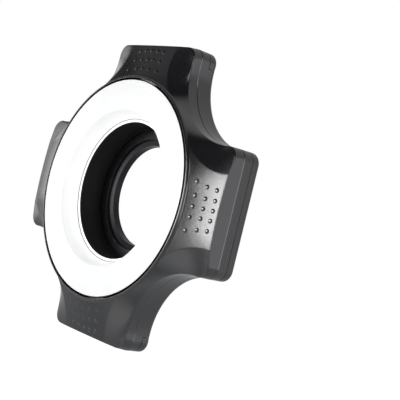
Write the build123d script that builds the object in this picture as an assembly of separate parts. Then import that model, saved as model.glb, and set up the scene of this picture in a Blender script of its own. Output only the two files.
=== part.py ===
from build123d import *
import os
from math import acos, cos, hypot, pi, radians, sin, sqrt

# Macro LED ring light with four lobes, in millimetres.
# Its front faces -Y, +Z is up, and the ring's axis is the Y axis.
# Depths are measured back from the front face of the white disc.
# The origin is on the ring's axis, at the adapter ring's rear shoulder.

# Tunnel and diffuser
barrel_radius = 36.5
barrel_wall = 1.4
barrel_mouth = 0.5
barrel_flange_width = 3.9
barrel_flange_thickness = 1.0
barrel_rib_height = 0.8
barrel_rib_thickness = 0.7
diffuser_step = 3.5
diffuser_wall = 1.5
diffuser_draft = 1.4
diffuser_skirt = 1.2
diffuser_inner_round = 1.7
diffuser_outer_round = 0.7

# LEDs and the two circuit boards
board_thickness = 1.6
led_radius = 2.5
led_length = 8.6
led_rim = 0.4
led_rim_thickness = 1.0
led_clearance = 0.2
led_air = 3.9
led_row_pitch = 5.6
led_edge = 3.6
leds_in_row = 24
board_gap = 0.5
resistor_size = (3.2, 1.6, 0.6)
board_space = 2.2
driver_height = 15.0
driver_post_radius = 1.7
driver_post_inset = 2.3
terminal_size = (4.5, 5.8, 4.0)
header_size = (8.0, 2.5)
chip_size = (5.0, 4.0, 1.5)
coil_radius = 2.3
coil_height = 3.0

# Slide switch
switch_body_size = (12.6, 5.6, 4.0)
switch_slot_depth = 1.5
switch_clearance = 0.8
knob_size = (7.0, 4.8)
knob_stem = (3.0, 2.0)
knob_proud = 1.1
knob_groove = 0.8
switch_travel = 6.0
switch_gap = 0.3

# Collar round the disc, and the ledge that carries the diffuser
disc_gap = 0.6
collar_width = 1.2
collar_bevel = 0.6
collar_drop = 1.3
ledge_depth = 8.0
ledge_thickness = 1.6
ledge_width = 4.8

# Case walls and lobes
skin = 1.8
front_skin = 1.8
lobe_lean = 2.0
lobe_corner = 6.0
lobe_side = 3.4
waist_margin = 0.4
parting_below = 0.8
parting_bevel = 0.25
rear_edge_round = 2.5
lip_height = 1.3
lip_thickness = 0.8
lip_gap = 0.1

# Sloping panels and facets of the lobes
panel_run = 28.0
panel_fall = 8.9
panel_hollow = 0.17
crease_radius = 30.0
crease_angle = 32.3
facet_edge_end = 9.7
facet_edge_waist = 8.4
facet_steps = 8
facet_inner_end = 46.0
facet_outer_end = 136.0
facet_overshoot = 0.3

# Raised grip dots, in arcs about the ring's axis, counted out from the collar
dot_radius = 1.1
dot_height = 0.5
dot_arcs = ((4.6, (0.0, 5.3, 12.1)), (10.0, (0.0, 4.8, 10.4)), (15.2, (0.0, 4.8, 9.8)))

# Adapter ring
thread_radius = 29.0
thread_length = 3.0
adapter_wall = 1.4
adapter_bore_step = 2.9
adapter_flange_gap = 0.3
adapter_flange_thickness = 1.2
adapter_play = 0.3
adapter_hub_radius = 32.9
running_gap = 0.08
seat_stand_off = 0.4

# Screws
board_screw_radius = 0.8
board_screw_length = 5.5
board_screw_head = (1.6, 1.2)
board_screw_margin = 2.1
board_boss_radius = 2.0
case_screw_out = 2.3
case_screw_angle = 26.8
case_screw_radius = 1.1
case_screw_length = 13.0
case_screw_head = (2.1, 1.7)
case_screw_sink = 2.5
case_boss_radius = 3.0
screw_gap = 0.1
recess_share = 0.65

# AA cell, its bay and its contacts
cell_radius = 7.1
cell_length = 50.5
cell_edge = 0.7
nub_radius = 2.75
nub_length = 1.3
cell_clearance = 0.35
cell_side_gap = 0.3
cell_end_gap = 0.6
positive_gap = 1.2
bay_margin = 4.7
rib_thickness = 1.2
rib_rise = 2.3
contact_thickness = 0.5
contact_half_height = 4.25
contact_width = 10.0
contact_gap = 0.1
strip_rise = 2.2
strip_height = 1.6
tag_place = 20.0
tag_width = 1.0
tag_reach = 1.0
spring_room = 4.7
spring_wire = 0.7
spring_radius = 3.0
spring_turns = 3
spring_gap = 0.1

# Battery door
door_cap_length = 8.8
door_cap_depth = 5.7
door_margin = 0.4
door_gap = 0.3
door_rail = 1.0
door_tongue = 1.4
door_tongue_thickness = 0.9
grip_rib_size = (20.0, 0.9, 0.5)
grip_rib_pitch = 1.9
grip_rib_count = 3

# Wiring
wire_radius = 0.65
wire_lead = 6.4
wire_bend = 3.5
wire_sweep = 35.0
lead_run = 3.0
lead_bend = 2.1

# Radii that follow, from the tunnel out to the lobes' ends
diffuser_inner_radius = barrel_radius + diffuser_step
led_row_inner = diffuser_inner_radius + diffuser_wall + led_clearance + led_radius + led_rim
led_row_outer = led_row_inner + led_row_pitch
led_board_inner = led_row_inner - led_edge
ledge_inner = led_row_outer + led_radius + led_rim + led_clearance
collar_inner = ledge_inner + ledge_width
disc_radius = collar_inner - disc_gap
collar_outer = collar_inner + collar_width
crease_start = collar_outer + collar_bevel
led_board_outer = collar_inner - board_gap
board_screw_circle = led_board_outer - board_screw_margin
case_screw_circle = crease_start + case_screw_out
bay_inner = led_board_outer + bay_margin
cell_place = bay_inner + cell_side_gap + cell_radius
lobe_reach = cell_place + cell_radius + cell_end_gap + skin
door_shoulder = lobe_reach - door_cap_length

# Widths that follow from the cell
bay_half_length = (positive_gap + cell_length + spring_room) / 2
door_half_width = bay_half_length - door_margin
lobe_half_width = bay_half_length + lobe_side
waist_reach = crease_start + waist_margin
waist_radius = (waist_reach - lobe_half_width * sqrt(2)) / (sqrt(2) - 1)
waist_distance = waist_reach + waist_radius
waist_centre = waist_distance / sqrt(2)
driver_size = (2 * (tag_place - lead_run), driver_height)
driver_centre = -(barrel_radius + barrel_wall + bay_inner - rib_thickness) / 2

# Depths that follow, from the front to the back
diffuser_depth = ledge_depth + diffuser_skirt
led_board_depth = diffuser_wall + led_air + led_length
parting_depth = led_board_depth + parting_below
driver_depth = led_board_depth + board_thickness + board_space
floor_depth = driver_depth + board_thickness + switch_body_size[2] + switch_clearance
case_depth = floor_depth + skin
seat_depth = case_depth + seat_stand_off
cell_depth = floor_depth - cell_clearance - cell_radius
contact_depths = (cell_depth - contact_half_height, cell_depth + contact_half_height)
strip_depths = (floor_depth - strip_rise - strip_height, floor_depth - strip_rise)
rib_front_depth = parting_depth - rib_rise
door_seam_depth = case_depth - door_cap_depth

lobes = {"right": 0, "top": 90, "left": 180, "bottom": 270}
dotted_lobes = ("right", "top", "bottom")
sides = (1, -1)


def front_plane(depth):
    """Plane at a depth, facing the front, with X to the right and Z up."""
    return Plane(origin=(0, depth - seat_depth, 0), x_dir=(1, 0, 0), z_dir=(0, -1, 0))


def slab(sketch, near, far):
    """Solid of a front-view sketch between two depths."""
    return extrude(front_plane(far) * sketch, far - near)


def ring(*points):
    """Solid of revolution about the ring's axis, from points of radius and depth."""
    corners = [(radius, depth - seat_depth) for radius, depth in points]
    return revolve(make_face(Polyline(*corners, close=True)), Axis.Y)


def disc(radius, near, far, place=(0, 0)):
    """Round bar along the ring's axis, centred on a front-view point."""
    return slab(Pos(*place) * Circle(radius), near, far)


def box(left, right, low, high, near, far):
    """Rectangular block from its limits in X, Z and depth."""
    centre = Pos((left + right) / 2, (low + high) / 2)
    return slab(centre * Rectangle(right - left, high - low), near, far)


def turned(shape, angle):
    """Shape turned about the ring's axis, from the right lobe towards the top."""
    return shape.rotate(Axis.Y, -angle)


def fuse(first, others):
    """One solid from several that touch or overlap."""
    return first + list(others)


# Case surfaces

def outline(inset=0.0, reach=lobe_reach):
    """Four-lobed front-view outline, moved in by an inset."""
    half = reach - inset
    face = Rectangle(2 * half, 2 * half)
    for x in (waist_centre, -waist_centre):
        for z in (waist_centre, -waist_centre):
            face -= Pos(x, z) * Circle(waist_radius + inset)
    return fillet(face.vertices(), lobe_corner - inset)


def panel_depth(radius):
    """Depth of the sloping panel at a radius, on a shallow hollow."""
    share = (radius - crease_start) / panel_run
    return collar_drop + panel_fall * share + 4 * panel_hollow * share * (1 - share)


def front_limit(drop):
    """Everything behind the collar and the panels, turned about the axis."""
    end = crease_start + panel_run
    middle = crease_start + panel_run / 2
    base = drop - seat_depth
    start = (crease_start, collar_drop + base)
    profile = Polyline((0, parting_depth - seat_depth), (0, base), (collar_outer, base), start)
    profile += ThreePointArc(start, (middle, panel_depth(middle) + base), (end, panel_depth(end) + base))
    profile += Polyline((end, panel_depth(end) + base), (end, parting_depth - seat_depth),
                        (0, parting_depth - seat_depth))
    return revolve(make_face(profile), Axis.Y)


def wall_at(angle):
    """Radius of the hollow side wall at an angle from the lobe's middle, in degrees."""
    off = radians(45 - angle)
    return waist_distance * cos(off) - sqrt(waist_radius ** 2 - (waist_distance * sin(off)) ** 2)


def facet_pairs():
    """Matching points on a facet's crease and on its side-wall edge, upper side of the right lobe."""
    crease_x = (crease_start + crease_radius) * cos(radians(crease_angle))
    crease_z = (crease_start + crease_radius) * sin(radians(crease_angle))
    beyond = lobe_reach + skin
    tangent_x = wall_at(crease_angle) * cos(radians(crease_angle))
    crease_from = -acos((beyond - crease_x) / crease_radius)
    crease_to = radians(crease_angle) - pi
    wall_from = -acos((beyond - waist_centre) / waist_radius)
    wall_to = -acos((tangent_x - waist_centre) / waist_radius)
    wall_end = -radians(facet_outer_end)
    pairs = []
    for step in range(facet_steps + 1):
        share = step / facet_steps
        turn = crease_from + (crease_to - crease_from) * share
        wall = wall_from + (wall_to - wall_from) * share
        pairs.append(((crease_x + crease_radius * cos(turn), crease_z + crease_radius * sin(turn)), wall))
    for step in range(1, facet_steps + 1):
        share = step / facet_steps
        turn = radians(crease_angle + (facet_inner_end - crease_angle) * share)
        wall = wall_to + (wall_end - wall_to) * share
        pairs.append(((crease_start * cos(turn), crease_start * sin(turn)), wall))
    return pairs, wall_from, wall_end


def facet_cutter(drop):
    """Solid in front of one sloping facet, upper side of the right lobe."""
    pairs, wall_from, wall_end = facet_pairs()
    inner, outer = [], []
    for (x, z), wall in pairs:
        share = (wall - wall_from) / (wall_end - wall_from)
        edge_depth = facet_edge_end + (facet_edge_waist - facet_edge_end) * share
        crease = Vector(x, panel_depth(hypot(x, z)) + drop - seat_depth, z)
        edge = Vector(waist_centre + waist_radius * cos(wall), edge_depth + drop - seat_depth,
                      waist_centre + waist_radius * sin(wall))
        inner.append(crease + (crease - edge) * facet_overshoot)
        outer.append(edge + (edge - crease) * facet_overshoot)
    surface = Face.make_surface_from_curves(Spline(*inner), Spline(*outer))
    return Solid.extrude(surface, Vector(0, -case_depth, 0))


def front_form(inset, drop):
    """Front half of the case as a full block, moved in by an inset and back by a drop."""
    near = front_plane(0) * outline(inset, lobe_reach - lobe_lean)
    far = front_plane(parting_depth) * outline(inset)
    block = loft([near, far], ruled=True) & front_limit(drop)
    upper = facet_cutter(drop)
    lower = upper.mirror(Plane.XY)
    for angle in lobes.values():
        block -= turned(upper, angle)
        block -= turned(lower, angle)
    return block


def on_each_lobe(places):
    """Front-view points of the right lobe, repeated on all four."""
    found = []
    for angle in lobes.values():
        turn = radians(angle)
        found += [(x * cos(turn) - z * sin(turn), x * sin(turn) + z * cos(turn)) for x, z in places]
    return found


def case_screw_places():
    """The eight case screws, two at the root of each lobe."""
    along = case_screw_circle * cos(radians(case_screw_angle))
    across = case_screw_circle * sin(radians(case_screw_angle))
    return on_each_lobe([(along, across), (along, -across)])


def board_screw_places():
    """The four screws of the LED board, on the diagonals."""
    reach = board_screw_circle / sqrt(2)
    return on_each_lobe([(reach, reach)])


def grip_dots():
    """Raised dots on three lobes."""
    sphere_radius = (dot_radius ** 2 + dot_height ** 2) / (2 * dot_height)
    dots = []
    for name in dotted_lobes:
        for out, offsets in dot_arcs:
            radius = crease_start + out
            centre = panel_depth(radius) + sphere_radius - dot_height - seat_depth
            for offset in sorted({side * offset for offset in offsets for side in sides}):
                place = Pos(sqrt(radius ** 2 - offset ** 2), centre, offset)
                dots.append(turned(place * Sphere(sphere_radius), lobes[name]))
    return dots


def front_shell():
    """Front half of the case: collar, sloping panels, facets, grip dots and the ledge."""
    prism = slab(outline(), -case_depth, parting_depth)
    prism = chamfer(prism.faces().sort_by(Axis.Y)[-1].edges(), parting_bevel)
    solid = front_form(0, 0) & prism
    shell = solid - front_form(skin, front_skin)
    shell -= disc(collar_inner, -skin, case_depth)
    ledge_end = ledge_depth + ledge_thickness
    collar = ring((collar_inner, 0), (collar_outer, 0), (crease_start, collar_drop),
                  (crease_start, ledge_end), (ledge_inner, ledge_end), (ledge_inner, ledge_depth),
                  (collar_inner, ledge_depth))
    case_bosses = [disc(case_boss_radius, collar_drop, parting_depth, place) & solid
                   for place in case_screw_places()]
    board_bosses = [disc(board_boss_radius, ledge_end, led_board_depth, place)
                    for place in board_screw_places()]
    shell = fuse(shell, [collar] + case_bosses + board_bosses + grip_dots())
    hole_end = case_depth - case_screw_sink - case_screw_length - screw_gap
    holes = [disc(case_screw_radius + screw_gap, hole_end, parting_depth, place)
             for place in case_screw_places()]
    hole_end = led_board_depth + board_thickness - board_screw_length - screw_gap
    holes += [disc(board_screw_radius + screw_gap, hole_end, led_board_depth, place)
              for place in board_screw_places()]
    lip_band = outline(skin - lip_thickness - lip_gap) - outline(skin + lip_gap)
    return shell - holes - slab(lip_band, parting_depth - lip_height - lip_gap, parting_depth)


# Rear shell and battery doors

def rear_block():
    """Rear half of the case as a full block with a rounded rear edge."""
    block = slab(outline(), parting_depth, case_depth)
    block = fillet(block.faces().sort_by(Axis.Y)[-1].edges(), rear_edge_round)
    return chamfer(block.faces().sort_by(Axis.Y)[0].edges(), parting_bevel)


def rear_hollow():
    """Wall of the rear half with nothing cut out of it."""
    return rear_block() - slab(outline(skin), parting_depth - skin, floor_depth)


def door_space(gap):
    """Blocks that the right lobe's door lies in, less a gap to the shell."""
    far = 2 * lobe_reach
    cap = box(door_shoulder + gap, far, -lobe_reach / 2, lobe_reach / 2, door_seam_depth + gap, far)
    plate = box(bay_inner + gap, far, gap - door_half_width, door_half_width - gap, floor_depth, far)
    return [cap, plate]


def bay_ribs():
    """Ribs of the right lobe's battery bay: one along its inner side and one behind each contact."""
    inner = box(bay_inner - rib_thickness, bay_inner, -bay_half_length - rib_thickness,
                bay_half_length + rib_thickness, rib_front_depth, floor_depth)
    ribs = []
    start = bay_half_length + contact_thickness + contact_gap
    for side in sides:
        middle = side * tag_place
        inner -= box(bay_inner - 2 * rib_thickness, bay_inner + rib_thickness, middle - tag_width,
                     middle + tag_width, strip_depths[0] - contact_gap, strip_depths[1] + contact_gap)
        low, high = sorted((side * start, side * lobe_reach / 2))
        rib = box(bay_inner, cell_place + cell_radius, low, high, rib_front_depth, door_seam_depth - door_gap)
        in_front = slab(outline(skin + door_gap), rib_front_depth, parting_depth)
        behind = slab(outline(skin / 2), parting_depth, floor_depth)
        ribs += [rib & in_front, rib & behind]
    return ribs + [inner]


def driver_posts():
    """Front-view places of the four posts that carry the driver board."""
    half_width = driver_size[0] / 2 - driver_post_inset
    half_height = driver_size[1] / 2 - driver_post_inset
    return [(x * half_width, driver_centre + z * half_height) for x in sides for z in sides]


def rear_shell():
    """Rear half of the case with bay ribs, bosses, posts, the adapter's hole and the switch window."""
    ribs = [turned(rib, angle) for angle in lobes.values() for rib in bay_ribs()]
    shell = fuse(rear_hollow(), ribs)
    shell -= [turned(space, angle) for angle in lobes.values() for space in door_space(0)]
    lip_band = outline(skin - lip_thickness) - outline(skin + lip_thickness)
    lip = slab(lip_band, parting_depth - lip_height, parting_depth + lip_height)
    lip -= slab(outline(skin), parting_depth - lip_height, parting_depth + lip_height)
    post_start = driver_depth + board_thickness
    bosses = [disc(case_boss_radius, parting_depth, floor_depth, place) for place in case_screw_places()]
    posts = [disc(driver_post_radius, post_start, floor_depth, place) for place in driver_posts()]
    shell = fuse(shell, [lip] + bosses + posts)
    head_depth = case_depth - case_screw_sink
    holes = [disc(adapter_hub_radius + running_gap, floor_depth, case_depth)]
    for place in case_screw_places():
        holes.append(disc(case_screw_radius + screw_gap, parting_depth, head_depth, place))
        holes.append(disc(case_screw_head[0] + screw_gap, head_depth, case_depth, place))
    for place in driver_posts():
        holes.append(disc(board_screw_radius + screw_gap, post_start,
                          driver_depth + board_screw_length + screw_gap, place))
    half_window = (knob_size[0] + switch_travel) / 2 + switch_gap
    half_height = knob_size[1] / 2 + switch_gap
    holes.append(box(-half_window, half_window, driver_centre - half_height, driver_centre + half_height,
                     floor_depth, case_depth))
    return shell - holes


def battery_door():
    """Right lobe's door: end cap, narrow plate over the bay, two rails and thumb ribs."""
    cap, plate = door_space(door_gap)
    door = rear_hollow() & (cap + plate)
    rail_from = bay_inner + door_gap
    rail_to = door_shoulder - door_gap
    rail_front = floor_depth - door_gap - door_tongue_thickness
    plate_half = door_half_width - door_gap
    pieces = []
    for side in sides:
        low, high = sorted((side * (plate_half - door_rail), side * plate_half))
        pieces.append(box(rail_from, rail_to, low, high, rail_front, floor_depth))
        low, high = sorted((side * plate_half, side * (plate_half + door_tongue)))
        pieces.append(box(rail_from, rail_to, low, high, rail_front, rail_front + door_tongue_thickness))
    length, width, height = grip_rib_size
    for count in range(grip_rib_count):
        middle = door_shoulder + grip_rib_pitch * (count + 1)
        pieces.append(box(middle - width / 2, middle + width / 2, -length / 2, length / 2,
                          case_depth, case_depth + height))
    return fuse(door, pieces)


# Diffuser, barrel and adapter ring

def diffuser():
    """White ring-shaped channel over the LEDs."""
    rear_inner = diffuser_inner_radius - diffuser_draft
    corners = [(disc_radius, 0), (disc_radius, ledge_depth), (disc_radius - diffuser_wall, ledge_depth),
               (disc_radius - diffuser_wall, diffuser_wall),
               (diffuser_inner_radius + diffuser_wall, diffuser_wall),
               (rear_inner + diffuser_wall, diffuser_depth), (rear_inner, diffuser_depth),
               (diffuser_inner_radius, 0)]
    face = make_face(Polyline(*[(radius, depth - seat_depth) for radius, depth in corners], close=True))
    inner_corner, outer_corner = face.vertices().sort_by(Axis.Y)[:2].sort_by(Axis.X)
    face = fillet(inner_corner, diffuser_inner_round)
    outer_corner = face.vertices().sort_by_distance(outer_corner)[0]
    return revolve(fillet(outer_corner, diffuser_outer_round), Axis.Y)


def inner_barrel():
    """Black tunnel with a flange in front and a rib that keeps the adapter ring in."""
    outer = barrel_radius + barrel_wall
    flange_outer = barrel_radius + barrel_mouth + barrel_flange_width
    flange_end = diffuser_depth + barrel_flange_thickness
    rib_end = adapter_front() - adapter_play
    rib_inner = barrel_radius - barrel_rib_height
    return ring((barrel_radius + barrel_mouth, diffuser_depth), (flange_outer, diffuser_depth),
                (flange_outer, flange_end), (outer, flange_end), (outer, floor_depth),
                (barrel_radius, floor_depth), (barrel_radius, rib_end), (rib_inner, rib_end),
                (rib_inner, rib_end - barrel_rib_thickness), (barrel_radius, rib_end - barrel_rib_thickness),
                (barrel_radius, flange_end))


def adapter_front():
    """Depth of the adapter ring's front face."""
    return floor_depth - adapter_play - adapter_flange_thickness


def adapter_ring():
    """Aluminium ring: a flange trapped in the case, a hub that turns in its hole, and a filter thread."""
    front = adapter_front()
    flange_end = front + adapter_flange_thickness
    flange_outer = barrel_radius - adapter_flange_gap
    bore = thread_radius - adapter_wall
    step = bore + adapter_bore_step
    return ring((step, front), (flange_outer, front), (flange_outer, flange_end),
                (adapter_hub_radius, flange_end), (adapter_hub_radius, seat_depth),
                (thread_radius, seat_depth), (thread_radius, seat_depth + thread_length),
                (bore, seat_depth + thread_length), (bore, case_depth - adapter_wall / 2),
                (step, flange_end + adapter_wall / 2))


# LED board, LEDs and resistors

def on_circle(radius, count, first=0.0):
    """Front-view points and their angles, evenly spaced on a circle."""
    angles = [first + 360 * step / count for step in range(count)]
    return [(radius * cos(radians(angle)), radius * sin(radians(angle)), angle) for angle in angles]


def led_board():
    """Ring-shaped circuit board with four screw holes."""
    face = Circle(led_board_outer) - Circle(led_board_inner)
    for place in board_screw_places():
        face -= Pos(*place) * Circle(board_screw_radius + screw_gap)
    return slab(face, led_board_depth, led_board_depth + board_thickness)


def one_led():
    """Round LED with its rim at the origin, pointing to the front."""
    rim = led_radius + led_rim
    dome_start = led_radius - led_length
    profile = Polyline((0, -led_length), (0, 0), (rim, 0), (rim, -led_rim_thickness),
                       (led_radius, -led_rim_thickness), (led_radius, dome_start))
    top = (led_radius * cos(pi / 4), dome_start - led_radius * sin(pi / 4))
    profile += ThreePointArc((led_radius, dome_start), top, (0, -led_length))
    return revolve(make_face(profile), Axis.Y)


def leds():
    """Two staggered rings of LEDs on the board's front."""
    first = one_led()
    found = []
    for row, radius in enumerate((led_row_inner, led_row_outer)):
        for x, z, angle in on_circle(radius, leds_in_row, row * 180 / leds_in_row):
            found.append(Pos(x, led_board_depth - seat_depth, z) * first)
    return Compound(children=found)


def led_resistors():
    """Small resistors on the LED board's back, one for each pair of LEDs."""
    along, across, height = resistor_size
    near = led_board_depth + board_thickness
    found = []
    middle = (led_row_inner + led_row_outer) / 2
    for x, z, angle in on_circle(middle, leds_in_row, 90 / leds_in_row):
        found.append(slab(Pos(x, z) * Rot(0, 0, angle) * Rectangle(across, along), near, near + height))
    return Compound(children=found)


# Screws

def screw(radius, length, head):
    """Screw with its head's seat at the origin and its shank towards the front."""
    head_radius, head_height = head
    body = Cylinder(radius, length, align=(Align.CENTER, Align.CENTER, Align.MIN))
    top = Cylinder(head_radius, head_height, align=(Align.CENTER, Align.CENTER, Align.MAX))
    slot = Box(recess_share * 2 * head_radius, recess_share * head_radius / 2, head_height)
    recess = Pos(0, 0, -head_height) * (slot + Rot(0, 0, 90) * slot)
    return Rot(90, 0, 0) * (body + top - recess)


def case_screws():
    """Eight screws that hold the two shells together."""
    one = screw(case_screw_radius, case_screw_length, case_screw_head)
    depth = case_depth - case_screw_sink - seat_depth
    return Compound(children=[Pos(x, depth, z) * one for x, z in case_screw_places()])


def board_screws():
    """Four screws of the LED board and four of the driver board."""
    one = screw(board_screw_radius, board_screw_length, board_screw_head)
    led_seat = led_board_depth + board_thickness - seat_depth
    found = [Pos(x, led_seat, z) * one for x, z in board_screw_places()]
    other = Rot(180, 0, 0) * one
    found += [Pos(x, driver_depth - seat_depth, z) * other for x, z in driver_posts()]
    return Compound(children=found)


# Cells and contacts of the right lobe, turned for the others

def cell():
    """AA cell across the lobe, its nub towards the positive strip."""
    tip = bay_half_length - positive_gap
    shoulder = tip - nub_length
    base = tip - cell_length
    edge = cell_edge
    points = [(0, tip), (nub_radius, tip), (nub_radius, shoulder), (cell_radius - edge, shoulder),
              (cell_radius, shoulder - edge), (cell_radius, base + edge / 2), (cell_radius - edge / 2, base),
              (0, base)]
    face = make_face(Plane.XZ * Polyline(*points, close=True))
    return Pos(cell_place, cell_depth - seat_depth, 0) * revolve(face, Axis.Z)


def contact_strip(side):
    """Spring-steel strip: end plate, arm along the inner rib and solder tag through it."""
    low, high = sorted((side * bay_half_length, side * (bay_half_length + contact_thickness)))
    tag_low = side * tag_place - tag_width / 2
    arm_from = bay_inner + contact_gap
    arm_to = arm_from + contact_thickness
    plate = box(cell_place - contact_width / 2, cell_place + contact_width / 2, low, high, *contact_depths)
    link = box(arm_from, cell_place, low, high, *strip_depths)
    start, end = sorted((side * tag_place - side * tag_width / 2, side * bay_half_length))
    arm = box(arm_from, arm_to, start, end, *strip_depths)
    tag_tip = bay_inner - rib_thickness - tag_reach
    tag = box(tag_tip, arm_to, tag_low, tag_low + tag_width, *strip_depths)
    return fuse(plate, [link, arm, tag])


def positive_contact():
    """Strip with a raised cone that meets the cell's nub."""
    height = positive_gap - spring_gap
    cone = Cone(nub_radius - contact_thickness, nub_radius - 2 * contact_thickness, height,
                align=(Align.CENTER, Align.CENTER, Align.MIN))
    place = Pos(cell_place, cell_depth - seat_depth, bay_half_length) * Rot(180, 0, 0)
    return contact_strip(1) + place * cone


def helix_point(turn, pitch):
    """Point and unit tangent on the contact spring's centreline, after a number of turns."""
    angle = 2 * pi * turn
    point = Vector(spring_radius * cos(angle), spring_radius * sin(angle), pitch * turn)
    tangent = Vector(-spring_radius * sin(angle), spring_radius * cos(angle), pitch / (2 * pi))
    return point, tangent.normalized()


def biarc(start, start_tangent, end, end_tangent):
    """Two tangent arcs from one point and direction to another."""
    across = end - start
    both = start_tangent + end_tangent
    spread = 2 * (1 - start_tangent.dot(end_tangent))
    reach = (sqrt(across.dot(both) ** 2 + 2 * spread * across.dot(across)) - across.dot(both)) / spread
    first = start + start_tangent * reach
    second = end - end_tangent * reach
    middle = (first + second) * 0.5
    return [TangentArc(start, middle, tangent=start_tangent), TangentArc(middle, end, tangent=second - first)]


def contact_spring():
    """Coil between the negative strip and the cell's base, in the right lobe."""
    pitch = (spring_room - 2 * spring_gap - spring_wire) / spring_turns
    edges = []
    for quarter in range(4 * spring_turns):
        start, start_tangent = helix_point(quarter / 4, pitch)
        end, end_tangent = helix_point((quarter + 1) / 4, pitch)
        edges += biarc(start, start_tangent, end, end_tangent)
    start, start_tangent = helix_point(0, pitch)
    coil = sweep(Plane(origin=start, z_dir=start_tangent) * Circle(spring_wire / 2), path=Wire(edges))
    gap = min((helix_point(quarter / 4, pitch)[0] - helix_point(quarter / 4 + 1, pitch)[0]).length
              for quarter in range(4 * (spring_turns - 1))) - spring_wire
    print("contact spring: least gap between turns", round(gap, 2), "mm")
    return Pos(cell_place, cell_depth - seat_depth, spring_gap + spring_wire / 2 - bay_half_length) * coil


# Driver board, switch and wiring

def driver_board():
    """Circuit board on four posts behind the LED board."""
    face = Pos(0, driver_centre) * Rectangle(*driver_size)
    for place in driver_posts():
        face -= Pos(*place) * Circle(board_screw_radius + screw_gap)
    return slab(face, driver_depth, driver_depth + board_thickness)


def driver_parts():
    """Chip, coil and terminal block on the driver board's back."""
    near = driver_depth + board_thickness
    half_switch = switch_body_size[0] / 2
    chip_x = -half_switch - chip_size[0] / 2 - driver_post_inset / 2
    coil_x = half_switch + coil_radius + switch_gap
    right = driver_size[0] / 2
    chip = box(chip_x - chip_size[0] / 2, chip_x + chip_size[0] / 2, driver_centre - chip_size[1] / 2,
               driver_centre + chip_size[1] / 2, near, near + chip_size[2])
    coil = disc(coil_radius, near, near + coil_height, (coil_x, driver_centre))
    terminal = box(right - terminal_size[0], right, driver_centre - terminal_size[1] / 2,
                   driver_centre + terminal_size[1] / 2, near, near + terminal_size[2])
    return Compound(children=[chip, coil, terminal])


def board_header():
    """Header that joins the two circuit boards."""
    low = driver_centre - header_size[1] - switch_gap
    return box(-header_size[0] / 2, header_size[0] / 2, low, low + header_size[1],
               led_board_depth + board_thickness, driver_depth)


def switch_body():
    """Slide switch body with the slot that its knob runs in."""
    near = driver_depth + board_thickness
    far = near + switch_body_size[2]
    half, half_height = switch_body_size[0] / 2, switch_body_size[1] / 2
    block = box(-half, half, driver_centre - half_height, driver_centre + half_height, near, far)
    slot = (knob_stem[0] + switch_travel) / 2 + switch_gap
    slot_height = knob_stem[1] / 2 + switch_gap
    return block - box(-slot, slot, driver_centre - slot_height, driver_centre + slot_height,
                       far - switch_slot_depth, far)


def switch_knob():
    """Slide switch knob at its off end, with grip grooves."""
    body_end = driver_depth + board_thickness + switch_body_size[2]
    middle = -switch_travel / 2
    half, half_height = knob_size[0] / 2, knob_size[1] / 2
    top = case_depth + knob_proud
    cap = box(middle - half, middle + half, driver_centre - half_height, driver_centre + half_height,
              body_end + switch_gap, top)
    half_stem, half_stem_height = knob_stem[0] / 2, knob_stem[1] / 2
    slot_floor = body_end - switch_slot_depth
    stem = box(middle - half_stem, middle + half_stem, driver_centre - half_stem_height,
               driver_centre + half_stem_height, slot_floor + switch_gap, body_end + switch_gap)
    knob = cap + stem
    for step in (-1, 0, 1):
        centre = middle + 2 * knob_groove * step
        knob -= box(centre - knob_groove / 2, centre + knob_groove / 2, driver_centre - half_height,
                    driver_centre + half_height, top - knob_proud / 2, top)
    return knob


def wire(points, bends):
    """Insulated wire along front-view points at the tags' depth."""
    depth = sum(strip_depths) / 2 - seat_depth
    route = FilletPolyline(*[(x, depth, z) for x, z in points], radius=bends)
    start = Plane(origin=route @ 0, z_dir=route % 0)
    return sweep(start * Circle(wire_radius), path=route)


def wire_start():
    """Tag tip and first corner of a wire at the right lobe, upper side."""
    tag_tip = bay_inner - rib_thickness - tag_reach
    return (tag_tip, tag_place), (tag_tip - wire_lead, tag_place)


def jumper_wire():
    """Wire across the diagonal between the right and the top lobe."""
    tip, corner = wire_start()
    diagonal = hypot(*corner) / sqrt(2)
    points = [tip, corner, (diagonal, diagonal), corner[::-1], tip[::-1]]
    return wire(points, [wire_bend, wire_sweep, wire_bend])


def battery_leads():
    """Two wires from the first and the last bay to the driver board's terminal."""
    tip, corner = wire_start()
    block = driver_size[0] / 2
    upper = driver_centre + terminal_size[1] / 4
    lower = driver_centre - terminal_size[1] / 4
    diagonal = hypot(*corner) / sqrt(2)
    long_route = [(tip[0], -tip[1]), (corner[0], -corner[1]), (diagonal, -diagonal),
                  ((diagonal + block) / 2, upper), (block, upper)]
    short_route = [(tip[1], -tip[0]), (tip[1], lower), (block, lower)]
    return wire(long_route, [wire_bend] * 3), wire(short_route, [lead_bend])


def build():
    """Every node of the light, by name."""
    lead_long, lead_short = battery_leads()
    nodes = {
        "front_shell": front_shell(), "rear_shell": rear_shell(), "diffuser": diffuser(),
        "inner_barrel": inner_barrel(), "adapter_ring": adapter_ring(), "led_board": led_board(),
        "leds": leds(), "led_resistors": led_resistors(), "case_screws": case_screws(),
        "board_screws": board_screws(), "driver_board": driver_board(), "driver_parts": driver_parts(),
        "board_header": board_header(), "switch_body": switch_body(), "switch_knob": switch_knob(),
        "battery_lead_long": lead_long, "battery_lead_short": lead_short,
    }
    in_lobe = {"battery_door": battery_door(), "cell": cell(), "positive_contact": positive_contact(),
               "negative_contact": contact_strip(-1), "contact_spring": contact_spring()}
    for lobe, angle in lobes.items():
        for name, shape in in_lobe.items():
            nodes[name + "_" + lobe] = turned(shape, angle)
    for number, angle in enumerate((0, 90, 180), start=1):
        nodes["jumper_wire_" + str(number)] = turned(jumper_wire(), angle)
    return nodes


os.makedirs("parts", exist_ok=True)
for name, shape in build().items():
    export_step(shape, os.path.join("parts", name + ".step"))
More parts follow.
